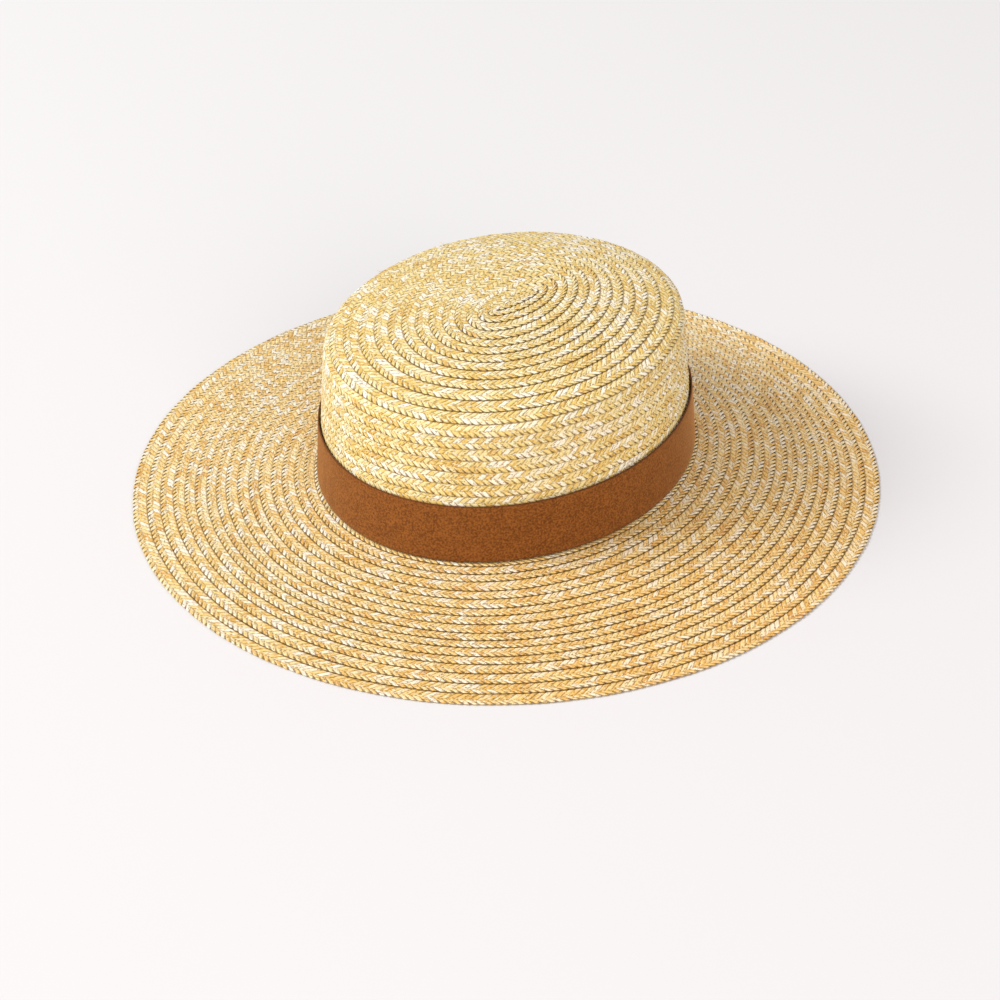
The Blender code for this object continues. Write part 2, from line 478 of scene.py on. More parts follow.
@dataclass(frozen=True)
class BraidRun:
    """A stretch of the spiral braid between two turns, made as one closed skin.

    Up to bar_end the row overlaps no earlier one. From flat_from, which lies past all
    turns unless it is given, the braid lies flatter.
    """

    name: str
    spiral: Spiral
    first_turn: float
    last_turn: float
    seed: int
    bar_end: float = 0.0
    join_turns: float = 0.15
    flat_from: float = 1000.0
    flat_ease: float = 0.1
    samples_per_turn: int = 360
    past_end: float = 0.05
    slant_rounds: int = 2

    def lengths(self) -> tuple[np.ndarray, np.ndarray]:
        """Return turns and the length of braid up to each of them.

        Returns:
            The turns, to a little past the run's last one, and the lengths.
        """
        end = self.last_turn + self.past_end
        count = int((end - self.first_turn) * self.samples_per_turn) + 2
        turns = np.linspace(self.first_turn, end, count)
        middle = (self.spiral.inner(turns) + self.spiral.outer(turns)) / 2
        half, height = self.spiral.line.at(middle, np.zeros_like(middle))
        points = self.points(half, height, turns, middle)
        steps = np.linalg.norm(np.diff(points, axis=0), axis=1)
        return turns, np.concatenate([[0.0], np.cumsum(steps)])

    def corners(self, plait: Plait, cells: int) -> dict[Zone, Corners]:
        """Lay the corners out along the braid.

        Args:
            plait: The plait that the run is made of.
            cells: Number of cells in the run.

        Returns:
            The corners of each zone.
        """
        per_cell = len(plait.columns)
        index = np.arange(cells * per_cell + 1)
        cell = index // per_cell
        kind = index % per_cell
        random = np.random.default_rng(self.seed)
        upper_lift = random.uniform(-1.0, 1.0, cells + 2)
        lower_lift = random.uniform(-1.0, 1.0, cells + 2)
        even = np.array([column.even for column in plait.columns])[kind]
        upper = np.array([column.upper for column in plait.columns])[kind]
        lower = np.array([column.lower for column in plait.columns])[kind]
        upper_furrow = np.array([column.upper_furrow for column in plait.columns])[kind]
        lower_furrow = np.array([column.lower_furrow for column in plait.columns])[kind]
        upper_dome = np.abs(upper - 0.5) * 2 * (1.0 - upper_furrow)
        lower_dome = (1.0 - np.abs(lower - 0.5) * 2) * (1.0 - lower_furrow)
        lower_cell = cell + (kind > per_cell // 2)
        none = np.zeros(len(index))
        return {
            Zone.UPPER: Corners(
                position=cell + upper,
                furrow=upper_furrow + plait.dome * upper_dome,
                lift=upper_lift[cell] * (1.0 - upper_furrow),
                notch=none,
            ),
            Zone.LOWER: Corners(
                position=cell + lower,
                furrow=lower_furrow + plait.dome * lower_dome,
                lift=lower_lift[lower_cell] * (1.0 - lower_furrow),
                notch=lower_furrow + plait.dome_notch * lower_dome,
            ),
            Zone.EVEN: Corners(position=cell + even, furrow=none, lift=none, notch=none),
        }

    def across(self, station: Station, plait: Plait, row: np.ndarray, seam: np.ndarray,
               overlap: np.ndarray) -> np.ndarray:
        """Return where a station lies across the row.

        Args:
            station: The corner of the section.
            plait: The plait that the run is made of.
            row: Width of the row at each column.
            seam: Place of the seam across the row at each column.
            overlap: Width of the hidden part of the row at each column.

        Returns:
            The distance from the row's inner edge at each column.
        """
        if station.anchor is Anchor.INNER:
            return station.offset - overlap
        if station.anchor is Anchor.START:
            return np.minimum(station.offset, seam / 3)
        room = np.minimum(1.0, row / plait.least_row)
        if station.anchor is Anchor.SEAM:
            return seam + station.offset * room
        return row + station.offset * room

    def bead(self, plait: Plait, turn: np.ndarray, lower_width: np.ndarray) -> np.ndarray:
        """Return how deep the outer edge is cut back between two straws.

        Args:
            plait: The plait that the run is made of.
            turn: Turns along the spiral.
            lower_width: Width of the lower row of straws.

        Returns:
            The depth at each turn, smaller at the front of the hat.
        """
        bead = np.clip(lower_width - plait.bead_room, 0.0, plait.bead)
        facing = np.cos(self.spiral.angle(turn) - plait.front_angle)
        return bead * (1.0 - (1.0 - plait.front_bead) * smooth_step(facing, *plait.front_span))

    def mesh(self, plait: Plait) -> bpy.types.Object:
        """Build the run's mesh.

        Args:
            plait: The plait that the run is made of.

        Returns:
            The new object, with the pattern's coordinates in its attribute "plait".
        """
        turns, lengths = self.lengths()
        whole_length = float(np.interp(self.last_turn, turns, lengths))
        cells = max(2, round(whole_length / plait.cell_length))
        cell_length = whole_length / cells
        corners = self.corners(plait, cells)
        flat_span = (self.flat_from - self.flat_ease, self.flat_from + self.flat_ease)
        rings = []
        marks = []
        for station in plait.stations():
            line = corners[station.zone]
            along = line.position * cell_length
            turn = np.interp(along, lengths, turns)
            for _ in range(self.slant_rounds):
                row = self.spiral.outer(turn) - self.spiral.inner(turn)
                lower_width = np.minimum(plait.lower_width, plait.lower_share * row)
                seam = row - lower_width
                joined = smooth_step(turn, self.bar_end, self.bar_end + self.join_turns)
                across = self.across(station, plait, row, seam, plait.overlap * joined)
                turn = np.interp(along + np.abs(across - seam), lengths, turns)
            if station.anchor is Anchor.EDGE:
                across = across - self.bead(plait, turn, lower_width) * line.notch
                ragged = wander(along, plait.wander_reach, self.seed + 1)
                across = across + plait.edge_wander * ragged
            lip = plait.lip * (1.0 - plait.flat_share * smooth_step(turn, *flat_span))
            inner_lift = lip * (1.0 - joined)
            plane = inner_lift + (lip - inner_lift) * across / np.maximum(row, plait.least_row)
            offset = plane + station.level - plait.furrow * station.relief * line.furrow
            offset = offset + plait.jitter * line.lift * max(station.relief, 0.0)
            distance = self.spiral.inner(turn) + across
            half, height = self.spiral.line.at(distance, offset)
            rings.append(self.points(half, height, turn, distance))
            marks.append(self.marks(line.position, station))
        return self.skin(np.array(rings), np.array(marks))

    def points(self, half: np.ndarray, height: np.ndarray, turn: np.ndarray,
               distance: np.ndarray) -> np.ndarray:
        """Return the places of one line of corners along the braid.

        Args:
            half: Half widths of the corners' ovals.
            height: Heights before the lean.
            turn: Turns along the spiral.
            distance: Distances along the base line.

        Returns:
            The points, one in each row.
        """
        angle = self.spiral.angle(turn)
        if self.spiral.stepped:
            return SHAPE.lean(SHAPE.oval(half, height, angle), SHAPE.brim_lean_share(half))
        flat = SHAPE.tip_oval(half, height, angle, distance)
        return SHAPE.lean(flat, np.ones_like(half))

    @staticmethod
    def marks(position: np.ndarray, station: Station) -> np.ndarray:
        """Return the pattern's coordinates of one line of corners.

        Args:
            position: Number of cells along the braid.
            station: The corner of the section.

        Returns:
            The coordinates along, across and through the braid.
        """
        across = np.full_like(position, station.mark)
        through = np.full_like(position, station.side)
        return np.stack([position, across, through], axis=-1)

    def skin(self, rings: np.ndarray, marks: np.ndarray) -> bpy.types.Object:
        """Join the lines of corners into one closed skin with capped ends.

        Args:
            rings: Points of each line of corners.
            marks: Pattern coordinates of each line of corners.

        Returns:
            The new object.
        """
        lines, count, _ = rings.shape
        corner = np.arange(lines * count).reshape(lines, count)
        after = np.roll(corner, -1, axis=0)
        quads = np.stack(
            [corner[:, :-1], after[:, :-1], after[:, 1:], corner[:, 1:]], axis=-1
        ).reshape(-1, 4)
        faces = quads.tolist()
        faces.append(corner[::-1, 0].tolist())
        faces.append(corner[:, -1].tolist())
        data = bpy.data.meshes.new(self.name)
        data.from_pydata(rings.reshape(-1, 3), [], faces)
        plait_marks = data.attributes.new("plait", "FLOAT_VECTOR", "POINT")
        plait_marks.data.foreach_set("vector", marks.reshape(-1).astype(np.float32))
        data.shade_smooth()
        data.update()
        piece = bpy.data.objects.new(self.name, data)
        bpy.context.scene.collection.objects.link(piece)
        return piece


def opaque(colour: Colour) -> tuple[float, float, float, float]:
    """Return a colour that covers in full."""
    return (*colour, 1.0)


class NodeDesk:
    """Short calls that add shader nodes to one material."""

    def __init__(self, name: str) -> None:
        """Start a material that holds a shader and an output.

        Args:
            name: Name of the material.
        """
        self.material = bpy.data.materials.new(name)
        self.material.use_nodes = True
        self.tree = self.material.node_tree
        self.shader = self.tree.nodes["Principled BSDF"]

    def add(self, kind: str, **settings: object) -> bpy.types.Node:
        """Add a node.

        Args:
            kind: Kind of node.
            settings: Its settings.

        Returns:
            The new node.
        """
        node = self.tree.nodes.new(kind)
        for key, value in settings.items():
            setattr(node, key, value)
        return node

    def feed(self, socket: bpy.types.NodeSocket, value: object) -> None:
        """Link a socket to an output, or set its value.

        Args:
            socket: The input.
            value: An output, or the value itself.
        """
        if isinstance(value, bpy.types.NodeSocket):
            self.tree.links.new(value, socket)
        else:
            socket.default_value = value

    def put(self, name: str, value: object) -> None:
        """Feed the shader's socket of a name."""
        self.feed(self.shader.inputs[name], value)

    def math(self, operation: str, *values: object) -> bpy.types.NodeSocket:
        """Do a math operation.

        Args:
            operation: The operation.
            values: Up to three values.

        Returns:
            The result.
        """
        node = self.add("ShaderNodeMath", operation=operation)
        for socket, value in zip(node.inputs, values):
            self.feed(socket, value)
        return node.outputs[0]

    def times(self, first: object, second: object) -> bpy.types.NodeSocket:
        """Return the product of two values."""
        return self.math("MULTIPLY", first, second)

    def away(self, value: object, middle: float) -> bpy.types.NodeSocket:
        """Return how far a value lies from a middle."""
        return self.math("ABSOLUTE", self.math("SUBTRACT", value, middle))

    def ramp(self, value: object, start: float, end: float, low: object,
             high: object) -> bpy.types.NodeSocket:
        """Return a smooth ramp from low at start to high at end.

        Args:
            value: Socket that is read.
            start: Value where the ramp starts.
            end: Value where the ramp ends.
            low: Result at the start.
            high: Result at the end.

        Returns:
            The ramp's result.
        """
        node = self.add("ShaderNodeMapRange", interpolation_type="SMOOTHSTEP", clamp=True)
        for socket, given in zip(node.inputs, (value, start, end, low, high)):
            self.feed(socket, given)
        return node.outputs[0]

    def mix(self, share: object, first: object, second: object,
            blend: str = "MIX") -> bpy.types.NodeSocket:
        """Return a mix of two colours.

        Args:
            share: Share of the second colour.
            first: First colour.
            second: Second colour.
            blend: Way of blending.

        Returns:
            The mixed colour.
        """
        node = self.add("ShaderNodeMix", data_type="RGBA", blend_type=blend)
        self.feed(node.inputs[0], share)
        self.feed(node.inputs[6], first)
        self.feed(node.inputs[7], second)
        return node.outputs[2]

    def vector(self, *parts: object) -> bpy.types.NodeSocket:
        """Put a vector together.

        Args:
            parts: Its three values.

        Returns:
            The vector.
        """
        node = self.add("ShaderNodeCombineXYZ")
        for socket, value in zip(node.inputs, parts):
            self.feed(socket, value)
        return node.outputs[0]

    def parts(self, vector: bpy.types.NodeSocket) -> tuple[bpy.types.NodeSocket, ...]:
        """Take a vector apart.

        Args:
            vector: The vector.

        Returns:
            Its three values.
        """
        node = self.add("ShaderNodeSeparateXYZ")
        self.feed(node.inputs[0], vector)
        return tuple(node.outputs)

    def marks(self, name: str) -> tuple[bpy.types.NodeSocket, ...]:
        """Return the three values of the mesh's attribute of a name."""
        attribute = self.add("ShaderNodeAttribute", attribute_name=name)
        return self.parts(attribute.outputs["Vector"])

    def place(self) -> bpy.types.NodeSocket:
        """Return the place on the object."""
        return self.add("ShaderNodeTexCoord").outputs["Object"]

    def noise(self, vector: object, scale: float, detail: float) -> bpy.types.NodeSocket:
        """Return a noise between 0 and 1.

        Args:
            vector: Where the noise is read.
            scale: How fine it is.
            detail: How many finer layers it has.

        Returns:
            The noise.
        """
        node = self.add("ShaderNodeTexNoise")
        self.feed(node.inputs["Vector"], vector)
        self.feed(node.inputs["Scale"], scale)
        self.feed(node.inputs["Detail"], detail)
        return node.outputs[0]

    def tones(self, value: object, stops: tuple[tuple[float, Colour], ...]) -> bpy.types.NodeSocket:
        """Return a colour from a table.

        Args:
            value: Where the table is read.
            stops: The table, as pairs of a place and a colour.

        Returns:
            The colour.
        """
        node = self.add("ShaderNodeValToRGB")
        ramp = node.color_ramp
        while len(ramp.elements) < len(stops):
            ramp.elements.new(1.0)
        for element, (place, colour) in zip(ramp.elements, stops):
            element.position = place
            element.color = opaque(colour)
        self.feed(node.inputs[0], value)
        return node.outputs[0]

    def bump(self, height: bpy.types.NodeSocket, strength: float, depth: float) -> None:
        """Give the shader a fine relief.

        Args:
            height: Height of the relief.
            strength: Strength of the relief.
            depth: Depth that a height of 1 stands for.
        """
        node = self.add("ShaderNodeBump")
        self.feed(node.inputs["Strength"], strength)
        self.feed(node.inputs["Distance"], depth)
        self.feed(node.inputs["Height"], height)
        self.put("Normal", node.outputs[0])


@dataclass(frozen=True)
class PlaitPlace:
    """The sockets that say where on the plait a point lies.

    along counts straws along the braid. across is 0 where the row comes out from under
    its neighbour, 1 at the seam and 2 at the outer edge. through is 0 on the upper face
    and 1 on the lower one. lower is 1 on the lower row of straws, cell is the straw's
    number, inside the place across the straw, off_middle the distance from the straw's
    middle, to_side the one from its side, and chance holds random values for each straw.
    """

    along: bpy.types.NodeSocket
    across: bpy.types.NodeSocket
    through: bpy.types.NodeSocket
    lower: bpy.types.NodeSocket
    cell: bpy.types.NodeSocket
    inside: bpy.types.NodeSocket
    off_middle: bpy.types.NodeSocket
    to_side: bpy.types.NodeSocket
    chance: bpy.types.Node


@dataclass(frozen=True)
class StrawFinish:
    """The finish of plaited natural straw.

    A span is the pair of values between which a mark fades in or out. The spans of
    places on the plait are in its own coordinates, and those of fore and of the painted
    shade on the hat's right side are in metres on the hat.
    """

    name: str
    orange: Colour
    golden: Colour
    straw: Colour
    pale: Colour
    cream: Colour
    tone_places: tuple[float, ...] = (0.24, 0.42, 0.62, 0.80, 0.92)
    cell_share: float = 0.62
    drift_share: float = 0.70
    drift_scale: float = 0.13
    lower_row_shift: float = 40.0
    streak_share: float = 0.5
    streak_scale: Pair = (9.0, 1.6)
    streak_span: Pair = (0.40, 0.66)
    shade: Colour = (0.66, 0.50, 0.32)
    shade_share: float = 0.30
    shade_span: Pair = (0.16, 0.46)
    # Painted highlight: a glint along the middle of some straws.
    glint_share: float = 0.25
    glint_middle: float = 0.42
    glint_span: Pair = (0.04, 0.20)
    shiny_span: Pair = (0.35, 0.75)
    least_glint: float = 0.3
    glint_streak_span: Pair = (0.35, 0.6)
    mottle_share: float = 0.70
    mottle_scale: Pair = (1.9, 2.6)
    mottle_span: Pair = (0.54, 0.66)
    # Painted shade: the hat's right side is tinted darker and warmer, as if turned from the light.
    side_shade_tint: Colour = (1.0, 0.88, 0.72)
    side_shade_share: float = 0.0
    side_shade_span: Pair = (-0.06, 0.17)
    # Colour of the painted shade in furrows, holes, row lines and turned edges, and of the straw's
    # own brown flecks.
    furrow: Colour = (0.22, 0.115, 0.018)
    faint_line: float = 0.10
    dark_line: float = 0.75
    line_shade_scale: Pair = (1.0, 3.0)
    line_shade_size: float = 0.9
    line_shade_span: Pair = (0.35, 0.65)
    strand_width: float = 2.26
    line_width: float = 0.30
    line_span: Pair = (0.0, 0.75)
    notch_width: float = 0.50
    notch_span: Pair = (1.35, 1.95)
    row_scale: float = 2.9
    hole_span: Pair = (0.50 / 3, 0.50)
    fleck_share: float = 0.7
    fleck_scale: Pair = (2.6, 3.4)
    fleck_span: Pair = (0.57, 0.66)
    # Painted shadow of the neighbouring row's edge, stronger at the front of the hat than at the
    # sides.
    front_row_shadow: float = 0.95
    side_row_shadow: float = 0.55
    row_shadow_span: Pair = (-0.05, 0.14)
    row_shadow_fore: Pair = (-0.02, 0.10)
    # Painted shade, with some soiling, on the turned outer edge of the braid.
    edge_line: float = 0.4
    edge_line_span: Pair = (0.3, 0.9)
    # Colour of the painted shade in the gaps between the teeth and under the neighbouring row.
    hollow_shade: Colour = (0.040, 0.020, 0.005)
    least_tooth: float = 0.05
    tooth_width: float = 0.58
    tooth_width_span: Pair = (1.25, 1.9)
    tooth_span: Pair = (0.55, 1.0)
    tooth_start_span: Pair = (1.25, 1.5)
    hidden_span: Pair = (-0.22, -0.04)
    upper_face_span: Pair = (0.05, 0.4)
    fore_way: Pair = (0.5, -0.87)
    front_notch: float = 0.45
    front_fore: Pair = (0.0, 0.11)
    back_notch: float = 0.55
    back_fore: Pair = (-0.13, -0.05)
    roughness: float = 0.52
    gloss_spread: float = 0.26
    streak_relief: float = 0.5
    relief_strength: float = 0.6
    relief_depth: float = 0.0003
    seed: float = 3.0

    def material(self) -> bpy.types.Material:
        """Draw the straw.

        Returns:
            The material, drawn on the plait's own coordinates.
        """
        desk = NodeDesk(self.name)
        plait = self.plait_place(desk)
        side, length, _ = desk.parts(desk.place())
        side_share, length_share = self.fore_way
        fore = desk.math("MULTIPLY_ADD", side, side_share, desk.times(length, length_share))
        upper_face = desk.ramp(plait.through, *self.upper_face_span, 1.0, 0.0)
        streak = self.spread(desk, plait, self.streak_scale, plait.cell, detail=3.0)
        colour = self.straw_colour(desk, plait, streak)
        # Painted shade: darker, warmer straw towards the hat's right side.
        side_shade = desk.ramp(side, *self.side_shade_span, 0.0, self.side_shade_share)
        colour = desk.mix(side_shade, colour, opaque(self.side_shade_tint), "MULTIPLY")
        # Painted shade and shadow in the furrows, holes, row lines and turned edges (with some
        # soiling there), mixed with the straw's own brown flecks.
        dark = self.painted_shade_and_flecks(desk, plait, fore, upper_face)
        colour = desk.mix(dark, colour, opaque(self.furrow))
        # Painted shade, near black, in the gaps between the teeth and under the neighbouring row.
        hollow_shade = self.painted_hollow_shade(desk, plait, fore, upper_face)
        desk.put("Base Color", desk.mix(hollow_shade, colour, opaque(self.hollow_shade)))
        chance = plait.chance.outputs["Value"]
        rough = desk.math("MULTIPLY_ADD", chance, -self.gloss_spread, self.roughness)
        desk.put("Roughness", rough)
        raised = desk.times(streak, self.streak_relief)
        relief = desk.math("MULTIPLY_ADD", dark, -1.0, raised)
        desk.bump(relief, self.relief_strength, self.relief_depth)
        return desk.material

    def plait_place(self, desk: NodeDesk) -> PlaitPlace:
        """Read where on the plait a point lies.

        Args:
            desk: The material's desk.

        Returns:
            The place.
        """
        along, across, through = desk.marks("plait")
        lower = desk.math("GREATER_THAN", across, 1.0)
        shifted = desk.math("MULTIPLY_ADD", lower, 0.5, along)
        cell = desk.math("FLOOR", shifted)
        inside = desk.math("FRACT", shifted)
        off_middle = desk.away(inside, 0.5)
        to_side = desk.times(desk.math("SUBTRACT", 0.5, off_middle), self.strand_width)
        chance = desk.add("ShaderNodeTexWhiteNoise", noise_dimensions="3D")
        desk.feed(chance.inputs["Vector"], desk.vector(cell, lower, self.seed))
        return PlaitPlace(
            along, across, through, lower, cell, inside, off_middle, to_side, chance
        )

    @staticmethod
    def spread(desk: NodeDesk, plait: PlaitPlace, scale: Pair, last: object,
               detail: float, size: float = 1.0) -> bpy.types.NodeSocket:
        """Return a noise that is stretched over the plait.

        Args:
            desk: The material's desk.
            plait: Place on the plait.
            scale: How fine the noise is along and across the braid.
            last: The noise's third coordinate.
            detail: How many finer layers it has.
            size: How fine it is in all.

        Returns:
            The noise.
        """
        along = desk.times(plait.along, scale[0])
        across = desk.times(plait.across, scale[1])
        return desk.noise(desk.vector(along, across, last), size, detail)

    def straw_colour(self, desk: NodeDesk, plait: PlaitPlace,
                     streak: bpy.types.NodeSocket) -> bpy.types.NodeSocket:
        """Colour each straw, with its streaks, painted shade on its sides, its own pale patches and
        painted glints.

        Args:
            desk: The material's desk.
            plait: Place on the plait.
            streak: Noise of the streaks.

        Returns:
            The colour.
        """
        apart = desk.times(plait.lower, self.lower_row_shift)
        drift_place = desk.vector(plait.cell, apart, self.seed)
        drift = desk.noise(drift_place, self.drift_scale, detail=2.0)
        tone = desk.times(plait.chance.outputs["Value"], self.cell_share)
        tone = desk.math("MULTIPLY_ADD", drift, self.drift_share, tone)
        colours = (self.orange, self.golden, self.straw, self.pale, self.cream)
        colour = desk.tones(tone, tuple(zip(self.tone_places, colours)))
        streaked = desk.ramp(streak, *self.streak_span, 0.0, self.streak_share)
        colour = desk.mix(streaked, colour, opaque(self.golden), "MULTIPLY")
        turned_away = desk.ramp(plait.off_middle, *self.shade_span, 0.0, self.shade_share)
        colour = desk.mix(turned_away, colour, opaque(self.shade), "MULTIPLY")
        # Painted highlight: a glint along the middle of some straws, varied with the streaks.
        off_glint = desk.away(plait.inside, self.glint_middle)
        on_top = desk.ramp(off_glint, *self.glint_span, 1.0, 0.0)
        chance = plait.chance.outputs["Color"]
        shiny = desk.ramp(chance, *self.shiny_span, 0.0, self.glint_share)
        glint_streak = desk.ramp(streak, *self.glint_streak_span, self.least_glint, 1.0)
        glint = desk.times(desk.times(on_top, shiny), glint_streak)
        mottle = self.spread(desk, plait, self.mottle_scale, self.seed, detail=2.0)
        patch = desk.ramp(mottle, *self.mottle_span, 0.0, self.mottle_share)
        # The straw's own pale patches, and the painted glints.
        pale = desk.math("MAXIMUM", glint, patch)
        return desk.mix(pale, colour, opaque(self.cream))

    def painted_shade_and_flecks(self, desk: NodeDesk, plait: PlaitPlace, fore: bpy.types.NodeSocket,
                   upper_face: bpy.types.NodeSocket) -> bpy.types.NodeSocket:
        """Draw painted shade in the furrows and holes, the painted shadow of the row lines, painted
        shade with some soiling on the turned edges, and the brown flecks.

        Args:
            desk: The material's desk.
            plait: Place on the plait.
            fore: How far a point lies towards the hat's front.
            upper_face: 1 on the upper face.

        Returns:
            How dark the painted shade, the soiling and the flecks are.
        """
        # Painted shade in the furrows between the straws, varied in strength along the braid.
        line_shade_noise = self.spread(
            desk, plait, self.line_shade_scale, self.seed, detail=2.0, size=self.line_shade_size
        )
        depth = desk.ramp(line_shade_noise, *self.line_shade_span, self.faint_line, self.dark_line)
        notch = desk.ramp(plait.across, *self.notch_span, 0.0, self.notch_width)
        reach = desk.math("ADD", notch, self.line_width)
        side_share = desk.math("SUBTRACT", 1.0, desk.math("DIVIDE", plait.to_side, reach))
        side_line = desk.times(desk.ramp(side_share, *self.line_span, 0.0, 1.0), depth)
        # Painted shade in the small holes where the straws meet.
        twice = desk.math("FRACT", desk.math("MULTIPLY_ADD", plait.along, 2.0, 0.5))
        beside = desk.times(desk.math("SUBTRACT", twice, 0.5), self.strand_width / 2)
        above = desk.times(desk.math("SUBTRACT", plait.across, 1.0), self.row_scale)
        beside_square = desk.math("POWER", beside, 2.0)
        above_square = desk.math("POWER", above, 2.0)
        from_hole = desk.math("SQRT", desk.math("ADD", beside_square, above_square))
        hole = desk.times(desk.ramp(from_hole, *self.hole_span, 1.0, 0.0), depth)
        speck = self.spread(desk, plait, self.fleck_scale, plait.cell, detail=1.0)
        fleck = desk.ramp(speck, *self.fleck_span, 0.0, self.fleck_share)
        # Painted shadow where a row comes out from under its neighbour, stronger at the front of
        # the hat.
        strength = desk.ramp(fore, *self.row_shadow_fore, self.side_row_shadow, self.front_row_shadow)
        at_start = desk.ramp(plait.across, *self.row_shadow_span, strength, 0.0)
        row_shadow = desk.times(at_start, upper_face)
        # Painted shade, with some soiling, on the turned edge between the upper and lower faces.
        facing = desk.math("ABSOLUTE", desk.math("MULTIPLY_ADD", plait.through, 2.0, -1.0))
        turned = desk.math("SUBTRACT", 1.0, facing)
        edge_line = desk.ramp(turned, *self.edge_line_span, 0.0, self.edge_line)
        dark = side_line
        for line in (hole, fleck, row_shadow, edge_line):
            dark = desk.math("MAXIMUM", dark, line)
        return dark

    def painted_hollow_shade(self, desk: NodeDesk, plait: PlaitPlace, fore: bpy.types.NodeSocket,
                upper_face: bpy.types.NodeSocket) -> bpy.types.NodeSocket:
        """Draw nearly black painted shade in the gaps between the teeth of each row's outer edge
        and where a row lies hidden under its neighbour, lighter at the front and at the back of the
        hat.

        Args:
            desk: The material's desk.
            plait: Place on the plait.
            fore: How far a point lies towards the hat's front.
            upper_face: 1 on the upper face.

        Returns:
            How dark the painted shade is.
        """
        width = desk.ramp(plait.across, *self.tooth_width_span, self.least_tooth, self.tooth_width)
        between = desk.math("DIVIDE", plait.to_side, width)
        tooth = desk.ramp(between, *self.tooth_span, 1.0, 0.0)
        started = desk.ramp(plait.across, *self.tooth_start_span, 0.0, 1.0)
        tooth = desk.times(tooth, started)
        # Painted shade where the row lies hidden under its neighbour.
        hidden = desk.ramp(plait.across, *self.hidden_span, 1.0, 0.0)
        under = desk.times(hidden, upper_face)
        # The painted shade is lighter at the front and at the back of the hat.
        front_share = desk.ramp(fore, *self.front_fore, 1.0, self.front_notch)
        back_share = desk.ramp(fore, *self.back_fore, self.back_notch, 1.0)
        tightness = desk.times(front_share, back_share)
        return desk.times(desk.math("MAXIMUM", tooth, under), tightness)


@dataclass(frozen=True)
class RibbonFinish:
    """The finish of the matte, suede-like ribbon."""

    name: str = "matte_ribbon"
    dark: Colour = (0.125, 0.037, 0.006)
    light: Colour = (0.285, 0.096, 0.018)
    # Colour of the painted shade along the ribbon's edges.
    edge: Colour = (0.075, 0.022, 0.008)
    nap_scale: float = 1100.0
    nap_share: float = 0.85
    cloud_scale: float = 160.0
    cloud_share: float = 0.15
    tone_span: Pair = (0.32, 0.68)
    edge_shade_span: Pair = (0.0, 0.035)
    edge_shade_share: float = 0.75
    roughness: float = 0.95
    gloss: float = 0.15
    sheen: float = 0.5
    sheen_roughness: float = 0.4
    sheen_tint: Colour = (1.0, 0.55, 0.22)
    relief_strength: float = 0.5
    relief_depth: float = 0.00025

    def material(self) -> bpy.types.Material:
        """Draw the ribbon.

        Returns:
            The material, with a fine nap and painted shade along both edges.
        """
        desk = NodeDesk(self.name)
        _, across, _ = desk.marks("ribbon")
        place = desk.place()
        nap = desk.noise(place, self.nap_scale, detail=3.0)
        cloud = desk.noise(place, self.cloud_scale, detail=3.0)
        clouds = desk.times(cloud, self.cloud_share)
        tone = desk.math("MULTIPLY_ADD", nap, self.nap_share, clouds)
        lightness = desk.ramp(tone, *self.tone_span, 0.0, 1.0)
        colour = desk.mix(lightness, opaque(self.dark), opaque(self.light))
        # Painted shade: the ribbon darkens towards both its edges.
        to_edge = desk.math("SUBTRACT", 0.5, desk.away(across, 0.5))
        edge_shade = desk.ramp(to_edge, *self.edge_shade_span, self.edge_shade_share, 0.0)
        desk.put("Base Color", desk.mix(edge_shade, colour, opaque(self.edge)))
        desk.put("Roughness", self.roughness)
        desk.put("Specular IOR Level", self.gloss)
        desk.put("Sheen Weight", self.sheen)
        desk.put("Sheen Roughness", self.sheen_roughness)
        desk.put("Sheen Tint", opaque(self.sheen_tint))
        desk.bump(nap, self.relief_strength, self.relief_depth)
        return desk.material


@dataclass(frozen=True)
class PaperFinish:
    """The finish of the pale paper that the hat lies on."""

    name: str = "studio_paper"
    colour: Colour = (0.745, 0.738, 0.748)
    tint: Colour = (0.8, 0.76, 0.75)
    cloud_scale: float = 2.0
    cloud_span: Pair = (0.3, 0.7)
    cloud_share: float = 0.03
    roughness: float = 0.9
    gloss: float = 0.1

    def material(self) -> bpy.types.Material:
        """Draw the paper.

        Returns:
            The material, hardly clouded.
        """
        desk = NodeDesk(self.name)
        cloud = desk.noise(desk.place(), self.cloud_scale, detail=2.0)
        share = desk.ramp(cloud, *self.cloud_span, 0.0, self.cloud_share)
        desk.put("Base Color", desk.mix(share, opaque(self.colour), opaque(self.tint)))
        desk.put("Roughness", self.roughness)
        desk.put("Specular IOR Level", self.gloss)
        return desk.material


def finish(piece: bpy.types.Object, material: bpy.types.Material, node: str,
           slot: str) -> bpy.types.Object:
    """Dress a piece, hang it on the root body and hide the solid that it replaces.

    Args:
        piece: The finished piece.
        material: Its material.
        node: The solid that it replaces.
        slot: The material slot's name; not used.

    Returns:
        The piece.
    """
    piece.data.materials.clear()
    piece.data.materials.append(material)
    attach(piece, "root")
    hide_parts(node)
    LOG.info("%s: %d faces", piece.name, len(piece.data.polygons))
    return piece


